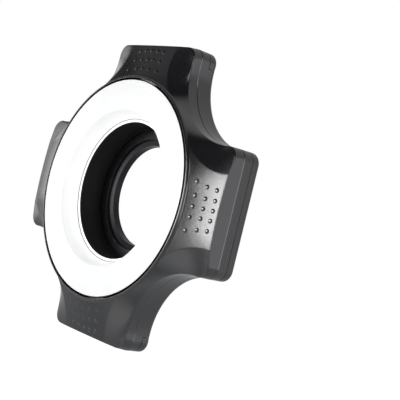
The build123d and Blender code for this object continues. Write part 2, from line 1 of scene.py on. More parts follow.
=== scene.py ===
import bmesh
import bpy
from math import acos, atan2, cos, hypot, pi, radians, sin, sqrt

import numpy as np
from mathutils import Matrix, Vector


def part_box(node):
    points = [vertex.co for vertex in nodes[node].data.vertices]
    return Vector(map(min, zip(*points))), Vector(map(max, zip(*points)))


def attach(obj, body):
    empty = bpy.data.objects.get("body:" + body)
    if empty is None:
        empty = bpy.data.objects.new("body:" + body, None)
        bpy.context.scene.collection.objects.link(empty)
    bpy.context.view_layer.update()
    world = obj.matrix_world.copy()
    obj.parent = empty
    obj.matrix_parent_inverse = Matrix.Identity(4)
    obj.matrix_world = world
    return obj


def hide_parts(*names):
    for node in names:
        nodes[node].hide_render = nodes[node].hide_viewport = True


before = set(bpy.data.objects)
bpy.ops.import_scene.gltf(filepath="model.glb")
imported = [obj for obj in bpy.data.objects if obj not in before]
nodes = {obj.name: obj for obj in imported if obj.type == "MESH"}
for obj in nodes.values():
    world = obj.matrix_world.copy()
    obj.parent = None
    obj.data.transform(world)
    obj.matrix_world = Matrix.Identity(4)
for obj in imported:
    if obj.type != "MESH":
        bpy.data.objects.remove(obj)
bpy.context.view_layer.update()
scene = bpy.context.scene
scene.view_settings.view_transform = "Standard"


# View, from the place at which the light was photographed

def add_camera(azimuth=48.02, elevation=-0.96, roll=13.77, place=(0.3870, -0.3101, -0.0035), lens=82.46):
    a, e, r = radians(azimuth), radians(elevation), radians(roll)
    back = Vector((sin(a) * cos(e), -cos(a) * cos(e), sin(e)))
    right = (-back).cross(Vector((0, 0, 1))).normalized()
    up = -(-back).cross(right)
    across = cos(r) * right + sin(r) * up
    upward = cos(r) * up - sin(r) * right
    cam = bpy.data.objects.new("camera", bpy.data.cameras.new("camera"))
    scene.collection.objects.link(cam)
    turn = Matrix((across, upward, back)).transposed().to_4x4()
    cam.matrix_world = Matrix.Translation(Vector(place)) @ turn
    cam.data.lens = lens
    cam.data.sensor_width = 36
    cam.data.clip_start = 0.01
    scene.camera = cam


add_camera()


# Node helpers

NOISE_LOW, NOISE_HIGH = 0.3, 0.7        # nearly all of a noise lies between these


class Nodes:
    """Short calls for the nodes of one tree."""

    def __init__(self, tree):
        self.tree = tree

    def node(self, kind, **values):
        made = self.tree.nodes.new(kind)
        for key, value in values.items():
            setattr(made, key, value)
        return made

    def link(self, source, target):
        self.tree.links.new(source, target)

    def feed(self, socket, value):
        """Link an input to another node's output, or set it to a constant."""
        if isinstance(value, bpy.types.NodeSocket):
            self.link(value, socket)
        else:
            socket.default_value = value

    def spread(self, value, low, high, to_low, to_high, kind="LINEAR"):
        """Map the range from low to high to another, clamped."""
        made = self.node("ShaderNodeMapRange", interpolation_type=kind)
        for k, number in enumerate((low, high, to_low, to_high), 1):
            made.inputs[k].default_value = number
        self.link(value, made.inputs[0])
        return made.outputs[0]

    def even(self, noise, low=0.0, high=1.0):
        """A noise's own range mapped to the range from low to high."""
        return self.spread(noise, NOISE_LOW, NOISE_HIGH, low, high)

    def maths(self, kind, a, b=0.0):
        made = self.node("ShaderNodeMath", operation=kind)
        self.feed(made.inputs[0], a)
        self.feed(made.inputs[1], b)
        return made.outputs[0]

    def parts(self, vector):
        """The three numbers of a vector."""
        made = self.node("ShaderNodeSeparateXYZ")
        self.link(vector, made.inputs[0])
        return made.outputs

    def rays(self):
        """Whether a ray is seen directly, and whether it was mirrored or let through."""
        path = self.node("ShaderNodeLightPath").outputs
        mirrored = self.maths("MAXIMUM", path["Is Glossy Ray"], path["Is Transmission Ray"])
        return path["Is Camera Ray"], mirrored


class Look(Nodes):
    """A material and short calls for its nodes."""

    def __init__(self, name):
        self.mat = bpy.data.materials.new(name)
        self.mat.use_nodes = True
        super().__init__(self.mat.node_tree)
        self.shader = self.tree.nodes["Principled BSDF"]
        self.place = None

    def put(self, socket, value):
        """Set or link an input of the shader."""
        self.feed(self.shader.inputs[socket], value)

    def coords(self):
        if self.place is None:
            self.place = self.node("ShaderNodeTexCoord").outputs["Object"]
        return self.place

    def noise(self, scale, detail=2.0, rough=0.5):
        made = self.node("ShaderNodeTexNoise")
        made.inputs["Scale"].default_value = scale
        made.inputs["Detail"].default_value = detail
        made.inputs["Roughness"].default_value = rough
        self.link(self.coords(), made.inputs["Vector"])
        return made.outputs["Fac"]

    def cells(self, scale):
        made = self.node("ShaderNodeTexVoronoi")
        made.inputs["Scale"].default_value = scale
        self.link(self.coords(), made.inputs["Vector"])
        return made.outputs["Distance"]

    def blend(self, factor, a, b):
        """Colour from a to b by a factor."""
        made = self.node("ShaderNodeMix", data_type="RGBA")
        for socket, value in ((made.inputs[0], factor), (made.inputs[6], a), (made.inputs[7], b)):
            self.feed(socket, (*value, 1) if isinstance(value, tuple) else value)
        return made.outputs[2]

    def bump(self, height, distance, strength=1.0, before=None):
        made = self.node("ShaderNodeBump")
        made.inputs["Strength"].default_value = strength
        made.inputs["Distance"].default_value = distance
        self.link(height, made.inputs["Height"])
        if before is not None:
            self.link(before, made.inputs["Normal"])
        return made.outputs["Normal"]

    def radius(self):
        """Distance from the ring's axis and place along it."""
        x, y, z = self.parts(self.coords())
        square = self.maths("ADD", self.maths("MULTIPLY", x, x), self.maths("MULTIPLY", z, z))
        return self.maths("SQRT", square), y


def shade(colour, factor, lift=0.0):
    """A paler or darker colour."""
    return tuple(min(1.0, c * factor + lift) for c in colour)


def moulded(name, colour, rough, grain=2600.0, height=0.00002, tint=0.25, specular=0.5):
    """Moulded plastic: spark-eroded grain, faint flow marks, uneven gloss and paler rubbed edges."""
    look = Look(name)
    fine = look.noise(grain, 3.0, 0.6)
    patch = look.noise(38.0, 3.0, 0.55)
    flow = look.noise(9.0, 1.0, 0.4)
    wear = look.noise(420.0, 4.0, 0.7)
    body = look.blend(look.even(patch), shade(colour, 1 - tint), shade(colour, 1 + tint))
    edge = look.node("ShaderNodeNewGeometry").outputs["Pointiness"]
    rub = look.maths("MULTIPLY", look.spread(edge, 0.52, 0.60, 0.0, 1.0),
                     look.spread(wear, 0.35, 0.7, 0.1, 0.9))
    look.put("Base Color", look.blend(look.maths("MULTIPLY", rub, 0.5), body, shade(colour, 2.4, 0.01)))
    gloss = look.spread(patch, 0.25, 0.75, rough - 0.035, rough + 0.035)
    look.put("Roughness", look.maths("ADD", gloss, look.even(fine, -0.03, 0.03)))
    look.put("Specular IOR Level", specular)
    look.put("Normal", look.bump(fine, height, 0.8, look.bump(flow, 0.0003, 0.25)))
    return look


# Shape of the front half, in millimetres. Points are (x, depth behind the disc's front, z), in the eighth
# between the middle of the right lobe, z = 0, and the middle of the waist, z = x.

BORE = 58.6                     # radius of the collar's inside
CREASE_START = 59.9             # radius at which panels and facets leave the collar
LEDGE_IN = 53.3                 # inner radius of the ledge behind the disc
LEDGE_NEAR = 8.0
LEDGE_FAR = 9.6
REACH = 79.2                    # from the axis to a lobe's end, at the parting
LEAN = 2.0                      # how much less far the end reaches at the disc's front
PART = 14.8                     # depth of the parting
CORNER = 6.0                    # radius of the outline's corners
WAIST_R = 37.688                # radius of the waist's wall
WAIST_C = 69.288                # x and z of its centre
DROP = 1.3                      # the panel's depth at the collar
RUN = 28.0                      # a length out from there
FALL = 8.17                     # how much deeper the panel is at that length
HOLLOW = 0.7                    # how far it sags on the way
CREASE_R = 30.0                 # radius of the crease between panel and facet
CREASE_A = radians(32.3)        # angle at which it meets the collar
INNER_END = radians(46.0)       # the facet's patch ends a little past the waist's middle, at the collar
OUTER_END = radians(136.0)      # and at the wall, there round the wall's own centre
EDGE_END = 9.7                  # depth of the facet's outer edge past the lobe's end
EDGE_WAIST = 8.4                # and at the waist
BEYOND = REACH + 1.8            # the patch starts past the lobe's end, at this x
WALL = 1.8                      # thickness of the wall
CEILING = 2.0                   # thickness of the front
CEILING_END = 1.6               # its inside stays this far in front of the parting
COLLAR_GAP = 0.06               # at the waist, the wall's inside stays this far outside the collar's back
BEVEL = 0.25                    # at the parting
ROUND_END = 0.45                # rounding of the edge at the panel's end
ROUND_SIDE = 0.8                # at the corner
ROUND_WAIST = 0.35              # and at the waist's middle
VALLEY_OUT = 0.25               # the valley at the collar is this much further out across a panel
VALLEY_DEEP = 0.17              # and this much deeper
STEP = 1e-4                     # for slopes by difference
BESIDE = 1e-3                   # for normals, which a crease itself doesn't have

CREASE_X = (CREASE_START + CREASE_R) * cos(CREASE_A)
CREASE_Z = (CREASE_START + CREASE_R) * sin(CREASE_A)

# Radius and depth of the collar: from the foot of its slope over the crowned rim into the bore, and the ledge
COLLAR = ((59.72, 0.80), (59.62, 0.52), (59.52, 0.33), (59.4, 0.19), (59.25, 0.11), (59.05, 0.06),
          (58.88, 0.04), (58.78, 0.05), (58.69, 0.1), (58.63, 0.19), (BORE, 0.3), (BORE, 4.0),
          (BORE, LEDGE_NEAR), (LEDGE_IN, LEDGE_NEAR), (LEDGE_IN, LEDGE_FAR), (CREASE_START, LEDGE_FAR))

# Steps of the mesh: even ones, and before or after them some closer ones at set distances from a crease
PANEL_COLUMNS = 22
PANEL_ROWS = 20
FACET_COLUMNS = 15
COLLAR_ROWS = 12
ROUND_STEPS = 5
PANEL_AT_CREASE = (0.2, 0.45, 0.8)
PANEL_AT_COLLAR = (0.22, 0.5, 0.85)
FACET_AT_CREASE = (0.25, 0.55, 0.95)
PANEL_LENGTH = 17.5
FACET_WIDTH = 8.0
WALL_ROWS = (0.35, 0.7, 1.0)
MID_EDGE = 9.5                  # depth of the edge by which the lengths round the outline are taken


def panel_depth(r):
    t = (r - CREASE_START) / RUN
    return DROP + FALL * t + 4 * HOLLOW * t * (1 - t)


def panel_slope(r):
    t = (r - CREASE_START) / RUN
    return (FALL + 4 * HOLLOW * (1 - 2 * t)) / RUN


def panel_up(x, z):
    """A vector square to the panel, not yet of length 1."""
    r = hypot(x, z)
    return panel_slope(r) * x / r, -1.0, panel_slope(r) * z / r


def half(d):
    """From the axis to a lobe's end at a depth."""
    return REACH - LEAN + LEAN * d / PART


def unit(v):
    return v / np.linalg.norm(v)


def polar(p):
    """Angle and radius round the axis."""
    return atan2(p[2], p[0]), hypot(p[0], p[2])


def turned(r, d, angle):
    return np.array([r * cos(angle), d, r * sin(angle)])


def wall_at(angle):
    """Radius of the waist's wall at an angle round the axis."""
    distance = WAIST_C * sqrt(2)
    off = pi / 4 - angle
    return distance * cos(off) - sqrt(WAIST_R ** 2 - (distance * sin(off)) ** 2)


CREASE_FROM = -acos((BEYOND - CREASE_X) / CREASE_R)
CREASE_TO = CREASE_A - pi
WALL_FROM = -acos((BEYOND - WAIST_C) / WAIST_R)
WALL_TO = -acos((wall_at(CREASE_A) * cos(CREASE_A) - WAIST_C) / WAIST_R)


def crease(s):
    """Inner edge of the facet: the crease up to 0.5, then the collar."""
    if s < 0.5:
        turn = CREASE_FROM + (CREASE_TO - CREASE_FROM) * 2 * s
        x, z = CREASE_X + CREASE_R * cos(turn), CREASE_Z + CREASE_R * sin(turn)
    else:
        turn = CREASE_A + (INNER_END - CREASE_A) * (2 * s - 1)
        x, z = CREASE_START * cos(turn), CREASE_START * sin(turn)
    return np.array([x, panel_depth(hypot(x, z)), z])


def wall_edge(s):
    """Outer edge of the facet, on the waist's wall."""
    if s < 0.5:
        turn = WALL_FROM + (WALL_TO - WALL_FROM) * 2 * s
    else:
        turn = WALL_TO + (-OUTER_END - WALL_TO) * (2 * s - 1)
    share = (turn - WALL_FROM) / (-OUTER_END - WALL_FROM)
    return np.array([WAIST_C + WAIST_R * cos(turn), EDGE_END + (EDGE_WAIST - EDGE_END) * share,
                     WAIST_C + WAIST_R * sin(turn)])


def wall_share(turn):
    """Place along the facet of a point on the waist's wall."""
    if turn > WALL_TO:
        return (turn - WALL_FROM) / (WALL_TO - WALL_FROM) / 2
    return 0.5 + (turn - WALL_TO) / (-OUTER_END - WALL_TO) / 2


def facet(s, v):
    """The facet: straight lines from its inner edge to its outer edge."""
    a = crease(s)
    return a + (wall_edge(s) - a) * v


def facet_normal(s, v):
    along = facet(s + BESIDE, v) - facet(s - BESIDE, v)
    across = facet(s, v + BESIDE) - facet(s, v - BESIDE)
    n = unit(np.cross(along, across))
    return n if n[1] < 0 else -n


def solve(func, s, v, *given):
    """The place on the facet where two conditions both come to nothing."""
    for _ in range(40):
        f = func(s, v, *given)
        if max(abs(f)) < 1e-9:
            break
        fs = (func(s + STEP, v, *given) - f) / STEP
        fv = (func(s, v + STEP, *given) - f) / STEP
        det = fs[0] * fv[1] - fs[1] * fv[0]
        s, v = s - (f[0] * fv[1] - f[1] * fv[0]) / det, v - (fs[0] * f[1] - fs[1] * f[0]) / det
    return s, v


def project(point, s, v):
    """Nearest place on the facet to a point."""
    for _ in range(30):
        f = facet(s, v) - point
        j = np.stack([(facet(s + STEP, v) - facet(s - STEP, v)) / (2 * STEP),
                      (facet(s, v + STEP) - facet(s, v - STEP)) / (2 * STEP)], axis=1)
        ds, dv = np.linalg.lstsq(j, -f, rcond=None)[0]
        s, v = s + ds, v + dv
        if abs(ds) + abs(dv) < 1e-10:
            break
    return s, v


def project_all(points, s, v):
    """Nearest places on the facet to a row of points, each looked for from the one before."""
    found = []
    for p in points:
        s, v = project(p, s, v)
        found.append(np.array([s, v]))
    return found


def last_place(holds, low, high):
    """By halving, the last place between two at which a condition holds."""
    for _ in range(60):
        mid = (low + high) / 2
        if holds(mid):
            low = mid
        else:
            high = mid
    return low


def corner_centre(d):
    """Centre of the rounded corner of the outline at a depth."""
    x = half(d) - CORNER
    return x, WAIST_C - sqrt((WAIST_R + CORNER) ** 2 - (WAIST_C - x) ** 2)


def corner_turn(d):
    """Angle round that centre at which the corner runs into the waist's wall."""
    x, z = corner_centre(d)
    return atan2(WAIST_C - z, WAIST_C - x)


def wall_turn(last, share):
    """Angle round the wall's centre, from the corner to the waist's middle."""
    return (last - pi) + (-3 * pi / 4 - (last - pi)) * share


def outline_point(part, share, d, inset=0.0):
    """Point of the outline at a depth: the end line, the corner or the side wall, by its share."""
    cx, cz = corner_centre(d)
    last = corner_turn(d)
    if part == "end":
        return np.array([half(d) - inset, d, cz * share])
    if part == "corner":
        turn = last * share
        r = CORNER - inset
        return np.array([cx + r * cos(turn), d, cz + r * sin(turn)])
    turn = wall_turn(last, share)
    r = WAIST_R + inset
    return np.array([WAIST_C + r * cos(turn), d, WAIST_C + r * sin(turn)])


def outline_normal(part, share, d):
    last = corner_turn(d)
    tilt = LEAN / PART
    if part == "end":
        return unit(np.array([1.0, -tilt, 0.0]))
    if part == "corner":
        turn = last * share
        return unit(np.array([cos(turn), -tilt * cos(turn), sin(turn)]))
    turn = wall_turn(last, share)
    lean = tilt * cos(last) * (1 - share) ** 8          # the end's lean soon fades along the wall
    return unit(np.array([-cos(turn), -lean, -sin(turn)]))


def off_end(s, v, z_end, share):
    """How far a point of the facet is off the end line, and off its share of the way to the corner."""
    p = facet(s, v)
    z_far = corner_centre(p[1])[1]
    return np.array([p[0] - half(p[1]), p[2] - (z_end + (z_far - z_end) * share)])


def off_corner(s, v, share):
    """How far a point of the facet is off the corner's point at its depth."""
    p = facet(s, v)
    q = outline_point("corner", share, p[1])
    return np.array([p[0] - q[0], p[2] - q[2]])


def bezier(a, c, b, t):
    """Point of the curve from a to b that is drawn towards c."""
    return a * (1 - t) ** 2 + c * 2 * t * (1 - t) + b * t * t


def shares(count, dense_from=(), dense_to=(), length=1.0):
    """Shares from 0 to 1: set distances from each end of a length, and even steps between."""
    low = [0.0] + [x / length for x in dense_from]
    high = [1 - x / length for x in reversed(dense_to)] + [1.0]
    a, b = low[-1], high[0]
    return low[:-1] + [a + (b - a) * k / count for k in range(count + 1)] + high[1:]


class EdgePoint:
    """A point of the edge between front and wall: its place on the outline and the arc that rounds it."""

    def __init__(self, part, share, p, front, radius):
        self.part, self.share = part, share
        wall = outline_normal(part, share, p[1])
        angle = acos(float(front @ wall))
        centre = p - radius * (front + wall) / (1 + front @ wall)
        self.arc = []
        for k in range(ROUND_STEPS + 1):
            to_wall, to_front = sin(angle * k / ROUND_STEPS), sin(angle * (1 - k / ROUND_STEPS))
            self.arc.append(centre + radius * ((front * to_front + wall * to_wall) / sin(angle)))

    def outline(self, d, inset=0.0):
        """The outline at the same share and another depth."""
        return outline_point(self.part, self.share, d, inset)


class Eighth:
    """Mesh of one eighth of the front half.

    The panel's grid has rows from the lobe's end to the collar and columns from the lobe's middle to the
    crease. The facet's grid goes on from the crease to the wall, and has further rows along the collar.
    Rows lie at the shares in along and down, columns at those in across and out.
    """

    def __init__(self):
        self.points = []
        self.faces = []
        self.s_end = last_place(lambda s: crease(s)[0] > half(crease(s)[1]), 0.0, 0.5)
        self.z_end = crease(self.s_end)[2]
        self.across = shares(PANEL_COLUMNS, dense_to=PANEL_AT_CREASE, length=self.z_end)
        self.along = shares(PANEL_ROWS, dense_to=PANEL_AT_COLLAR, length=PANEL_LENGTH)
        self.out = shares(FACET_COLUMNS, dense_from=FACET_AT_CREASE, length=FACET_WIDTH)
        self.na, self.ma, self.mb = len(self.along) - 1, len(self.across) - 1, len(self.out) - 1
        self.rows = self.na + COLLAR_ROWS
        crease_length = (self.s_end - 0.5) * 2 * (CREASE_TO - CREASE_FROM) * CREASE_R
        collar_length = (pi / 4 - CREASE_A) * CREASE_START
        inner_length = crease_length + collar_length
        self.down = [t * crease_length / inner_length for t in self.along]
        self.down += [(crease_length + collar_length * k / COLLAR_ROWS) / inner_length
                      for k in range(1, COLLAR_ROWS + 1)]
        self.collar_angles = [CREASE_A + (pi / 4 - CREASE_A) * k / COLLAR_ROWS
                              for k in range(1, COLLAR_ROWS + 1)]
        self.trace_edge()
        self.fill_panel()
        self.fill_facet()
        self.round_crease()
        self.meet_collar()
        self.lay_faces()

    # Points

    def trace_edge(self):
        """The edge from the middle of the lobe's end round the corner to the waist's middle."""
        self.edge = []
        for u in self.across:
            z = self.z_end * u
            x = REACH
            for _ in range(30):
                x = half(panel_depth(hypot(x, z)))
            d = panel_depth(hypot(x, z))
            n = unit(np.array(panel_up(x, z)))
            if u == 1.0:
                n = unit(n + facet_normal(self.s_end + BESIDE, 10 * BESIDE))
            self.edge.append(EdgePoint("end", z / corner_centre(d)[1], np.array([x, d, z]), n, ROUND_END))
        s, v = self.s_end, 0.0
        for eta in self.out[1:]:
            s, v = solve(off_end, s, v + 0.02, self.z_end, eta)         # from a guess a little further out
            p = facet(s, v)
            self.edge.append(EdgePoint("end", p[2] / corner_centre(p[1])[1], p, facet_normal(s, v),
                                       ROUND_END + (ROUND_SIDE - ROUND_END) * eta))
        # The corner and the wall get as many rows each as suits their lengths
        wall_length = (corner_turn(MID_EDGE) - pi + 3 * pi / 4) * WAIST_R
        corner_length = corner_turn(MID_EDGE) * CORNER
        corner_part = corner_length / (corner_length + wall_length)
        corner_last = min(range(self.rows), key=lambda k: abs(self.down[k] - corner_part))
        base = self.down[corner_last]
        for down in self.down[1:corner_last + 1]:
            share = down / base
            s, v = solve(off_corner, s, v, share)
            if share == 1.0:
                v = 1.0
            p = facet(s, v)
            self.edge.append(EdgePoint("corner", share, p, facet_normal(s, min(v, 1 - BESIDE)), ROUND_SIDE))
        for down in self.down[corner_last + 1:]:
            share = (down - base) / (1 - base)
            d = MID_EDGE
            for _ in range(20):
                q = outline_point("wall", share, d)
                s = wall_share(atan2(q[2] - WAIST_C, q[0] - WAIST_C))
                d = wall_edge(min(s, 1 - BESIDE))[1]
            self.edge.append(EdgePoint("wall", share, facet(s, 1.0), facet_normal(s, 1 - BESIDE),
                                       ROUND_SIDE + (ROUND_WAIST - ROUND_SIDE) * share ** 2))
        for q in self.edge[0].arc:
            q[2] = 0.0
        for q in self.edge[-1].arc:
            q[0] = q[2] = (q[0] + q[2]) / 2

    def fill_panel(self):
        """Rows of the panel: arcs that turn from the end's edge to the collar's circle."""
        top = [e.arc[0] for e in self.edge[:self.ma + 1]]
        self.s_top, self.v_top = project(top[-1], self.s_end, 0.0)
        self.panel = np.zeros((self.na + 1, self.ma + 1, 3))
        self.panel[0] = top
        x_start, x_last = top[0][0], top[-1][0]
        for i, t in enumerate(self.along[1:], 1):
            r = x_start + (CREASE_START - x_start) * t
            cx, _, cz = crease(self.s_top + (0.5 - self.s_top) * t)
            bend = ((r - cx) ** 2 + cz ** 2) / (2 * (r - cx))
            full = acos((bend - (r - cx)) / bend)
            fade = (1 - t) ** 3
            for j, u in enumerate(self.across):
                if i == self.na:
                    x, z = CREASE_START * cos(CREASE_A * u), CREASE_START * sin(CREASE_A * u)
                else:
                    x, z = r - bend * (1 - cos(full * u)), bend * sin(full * u)
                # The first row isn't quite an arc; what is left over fades out along the rows
                if j < self.ma:
                    x += fade * (top[j][0] - (x_start + (x_last - x_start) * u * u))
                self.panel[i, j] = x, panel_depth(hypot(x, z)), z

    def fill_facet(self):
        """Points of the facet, blended between its four sides."""
        inner_s = [self.s_top + (0.5 - self.s_top) * t for t in self.along]
        inner_s += [0.5 + (turn - CREASE_A) / (INNER_END - CREASE_A) / 2 for turn in self.collar_angles]
        end_edge = [e.arc[0] for e in self.edge[self.ma:self.ma + self.mb + 1]]
        outer_edge = [e.arc[0] for e in self.edge[self.ma + self.mb:]]
        end = project_all(end_edge, self.s_top, self.v_top)
        outer = project_all(outer_edge, *end[-1])
        end[0] = np.array([self.s_top, 0.0])
        middle = []
        for eta in self.out:
            v = outer[-1][1] * eta
            middle.append(np.array([last_place(lambda s: facet(s, v)[2] < facet(s, v)[0], 0.5, 1.0), v]))
        outer[-1] = middle[-1]
        self.side = np.zeros((self.rows + 1, self.mb + 1, 3))
        for i, xi in enumerate(self.down):
            inner = np.array([inner_s[i], 0.0])
            for j, eta in enumerate(self.out):
                base = (1 - eta) * inner + eta * outer[i] + (1 - xi) * end[j] + xi * middle[j]
                corners = ((1 - xi) * (1 - eta) * end[0] + (1 - xi) * eta * end[-1]
                           + xi * (1 - eta) * middle[0] + xi * eta * middle[-1])
                self.side[i, j] = facet(*(base - corners))
        self.side[0] = end_edge
        self.side[:, self.mb] = outer_edge
        for p in self.side[self.rows]:
            p[0] = p[2] = (p[0] + p[2]) / 2
        self.side[:self.na + 1, 0] = self.panel[:, self.ma]

    def round_crease(self):
        panel, side, ma = self.panel, self.side, self.ma
        for i in range(1, self.na - 2):
            a, c, b = panel[i, ma - 2].copy(), panel[i, ma].copy(), side[i, 2].copy()
            panel[i, ma - 1] = bezier(a, c, b, 0.25)
            panel[i, ma] = side[i, 0] = bezier(a, c, b, 0.5)
            side[i, 1] = bezier(a, c, b, 0.75)

    def meet_collar(self):
        """Round the valley between the panel or facet and the collar, and turn the collar's profile."""
        panel, side, na, ma = self.panel, self.side, self.na, self.ma
        angles = [CREASE_A * u for u in self.across] + self.collar_angles
        collar = [[turned(r, d, angle) for angle in angles] for r, d in COLLAR]
        valley = []
        for k, angle in enumerate(angles):
            b = collar[0][k]
            if k <= ma:
                share = min(1.0, (1 - self.across[k]) * 4)      # less over the quarter beside the crease
                c = turned(CREASE_START + VALLEY_OUT * share, DROP + VALLEY_DEEP * share, angle)
                a = panel[na - 3, k].copy()
                panel[na - 2, k] = bezier(a, c, b, 0.2)
                panel[na - 1, k] = bezier(a, c, b, 0.4)
                panel[na, k] = bezier(a, c, b, 0.6)
            else:
                c = turned(CREASE_START, DROP, angle)
                a = side[na + k - ma, 2].copy()
                side[na + k - ma, 1] = bezier(a, c, b, 0.3)
                side[na + k - ma, 0] = bezier(a, c, b, 0.6)
            valley.append(bezier(a, c, b, 0.8))
        side[:na + 1, 0] = panel[:, ma]
        self.rings = [valley] + collar

    # Faces

    def add(self, p):
        self.points.append(tuple(float(c) for c in p))
        return len(self.points) - 1

    def strip(self, a, b):
        """Faces between two rows of points, which may share some."""
        for k in range(len(a) - 1):
            quad = [a[k], a[k + 1], b[k + 1], b[k]]
            kept = [q for n, q in enumerate(quad) if q != quad[n - 1]]
            if len(set(kept)) > 2:
                self.faces.append(tuple(kept))

    def grids(self, moved, flip):
        """Faces of the panel and the facet with each point moved; their points along the edge and collar."""
        panel = [[self.add(moved(p)) for p in row] for row in self.panel]
        side = [[panel[i][self.ma] if j == 0 and i <= self.na else self.add(moved(p))
                 for j, p in enumerate(row)] for i, row in enumerate(self.side)]
        for grid in (panel, side):
            for a, b in zip(grid, grid[1:]):
                if flip:
                    a, b = b, a
                self.strip(a, b)
        rim = panel[0] + side[0][1:] + [row[self.mb] for row in side[1:]]
        return rim, panel[self.na] + [row[0] for row in side[self.na + 1:]]

    def lay_faces(self):
        rim, before = self.grids(lambda p: p, False)
        for ring in self.rings:
            ids = [self.add(p) for p in ring]
            self.strip(before, ids)
            before = ids
        ledge = before
        before = rim
        # Edge rounding, the outer wall and the bevel at the parting
        for k in range(1, ROUND_STEPS + 1):
            ids = [self.add(e.arc[k]) for e in self.edge]
            self.strip(ids, before)
            before = ids
        for share in WALL_ROWS:
            ids = [self.add(e.arc[-1] + (e.outline(PART - BEVEL) - e.arc[-1]) * share) for e in self.edge]
            self.strip(ids, before)
            before = ids
        foot = [self.add(e.outline(PART, BEVEL)) for e in self.edge]
        self.strip(foot, before)
        # Inside: the wall, the ceiling and the collar's back
        outer = np.array([polar(e.outline(PART)) for e in self.edge]).T
        inset = np.array([polar(e.outline(PART, WALL)) for e in self.edge]).T

        def inward(p, d):
            """Point moved in towards the axis, so that the wall keeps its thickness."""
            angle, r = polar(p)
            inner = max(CREASE_START + COLLAR_GAP, np.interp(angle, *inset))
            share = max(0.0, (r - CREASE_START) / (np.interp(angle, *outer) - CREASE_START))
            return turned(CREASE_START + (inner - CREASE_START) * min(1.0, share), d, angle)

        ceiling, back = self.grids(lambda p: inward(p, min(p[1] + CEILING, PART - CEILING_END)), True)
        low = [self.add(inward(e.outline(PART), PART)) for e in self.edge]
        self.strip(low, foot)
        self.strip(ceiling, low)
        self.strip(ledge, back)


# Front half of the case

SEAT = 26.4                     # from the disc's front to the frame's origin
MM = 0.001
WELD = 0.002                    # points of two eighths closer than this are one
SHARP = radians(40)             # edges with a larger angle are shown sharp
DOT_RADIUS = 1.1
DOT_HEIGHT = 0.19
DOT_STEPS = 24
# Radius past the dot's own, and height: a closed foot sunk in the panel, with a small flare
DOT_FOOT = ((0.2, -0.25), (0.2, -0.02), (0.07, 0.004), (0.0, 0.016))
# The cap's rings, as shares of the dot's radius
DOT_CAP = (0.93, 0.85, 0.76, 0.66, 0.55, 0.42, 0.25)
# Distance from the collar and places to both sides, for each row of dots
DOTS = ((4.6, (0.0, 5.3, 12.1)), (10.0, (0.0, 4.8, 10.4)), (15.2, (0.0, 4.8, 9.8)))
DOTTED = (0, 90, 270)           # the left lobe has none


def add_mesh(name, bm):
    """An object from a finished bmesh, smooth but for its sharp edges."""
    mesh = bpy.data.meshes.new(name)
    bm.to_mesh(mesh)
    bm.free()
    mesh.shade_smooth()
    mesh.set_sharp_from_angle(angle=SHARP)
    obj = bpy.data.objects.new(name, mesh)
    scene.collection.objects.link(obj)
    return obj


def dot_points():
    """Centres of the right lobe's dots: x, z."""
    found = []
    for out, offsets in DOTS:
        for offset in sorted({side * offset for offset in offsets for side in (1, -1)}):
            found.append((sqrt((CREASE_START + out) ** 2 - offset ** 2), offset))
    return found


def add_dot(bm, x, z):
    """One raised dot: a flat-topped cap with a small flared foot, closed underneath."""
    up = Vector(panel_up(x, z)).normalized()
    side = up.cross(Vector((0, 0, 1))).normalized()
    other = up.cross(side)
    centre = Vector((x, panel_depth(hypot(x, z)) - SEAT, z))
    foot = DOT_FOOT[-1][1]
    profile = [(DOT_RADIUS + wider, high) for wider, high in DOT_FOOT]
    profile += [(DOT_RADIUS * share, foot + (DOT_HEIGHT - foot) * (1 - share ** 3)) for share in DOT_CAP]
    top = bm.verts.new(centre + up * DOT_HEIGHT)
    before = None
    turns = [2 * pi * k / DOT_STEPS for k in range(DOT_STEPS)]
    for reach, high in profile:
        loop = [bm.verts.new(centre + up * high + reach * (cos(turn) * side + sin(turn) * other))
                for turn in turns]
        if before is None:
            bm.faces.new(loop)
        else:
            for k in range(DOT_STEPS):
                n = (k + 1) % DOT_STEPS
                bm.faces.new((before[n], before[k], loop[k], loop[n]))
        before = loop
    for k in range(DOT_STEPS):
        bm.faces.new((before[(k + 1) % DOT_STEPS], before[k], top))


def front_case():
    """The eighth turned and mirrored all the way round, and the dots."""
    made = Eighth()
    part = bmesh.new()
    points = [part.verts.new((x, d - SEAT, z)) for x, d, z in made.points]
    for face in made.faces:
        part.faces.new([points[k] for k in face])
    eighth = bpy.data.meshes.new("eighth")
    part.to_mesh(eighth)
    part.free()
    whole = bmesh.new()
    for angle in (0, 90, 180, 270):
        for flip in (1, -1):
            copy = eighth.copy()
            copy.transform(Matrix.Rotation(radians(-angle), 4, "Y") @ Matrix.Diagonal((1, 1, flip, 1)))
            if flip < 0:
                copy.flip_normals()
            whole.from_mesh(copy)
            bpy.data.meshes.remove(copy)
    bpy.data.meshes.remove(eighth)
    bmesh.ops.remove_doubles(whole, verts=whole.verts, dist=WELD)
    for angle in DOTTED:
        lone = bmesh.new()
        for x, z in dot_points():
            add_dot(lone, x, z)
        bmesh.ops.rotate(lone, verts=lone.verts, matrix=Matrix.Rotation(radians(-angle), 3, "Y"))
        bmesh.ops.recalc_face_normals(lone, faces=lone.faces)
        held = bpy.data.meshes.new("dots")
        lone.to_mesh(held)
        lone.free()
        whole.from_mesh(held)
        bpy.data.meshes.remove(held)
    bmesh.ops.scale(whole, verts=whole.verts, vec=(MM, MM, MM))
    return add_mesh("front_case", whole)


# Diffuser: a white disc with a tapered inner wall that ends in a narrow lip over the tunnel

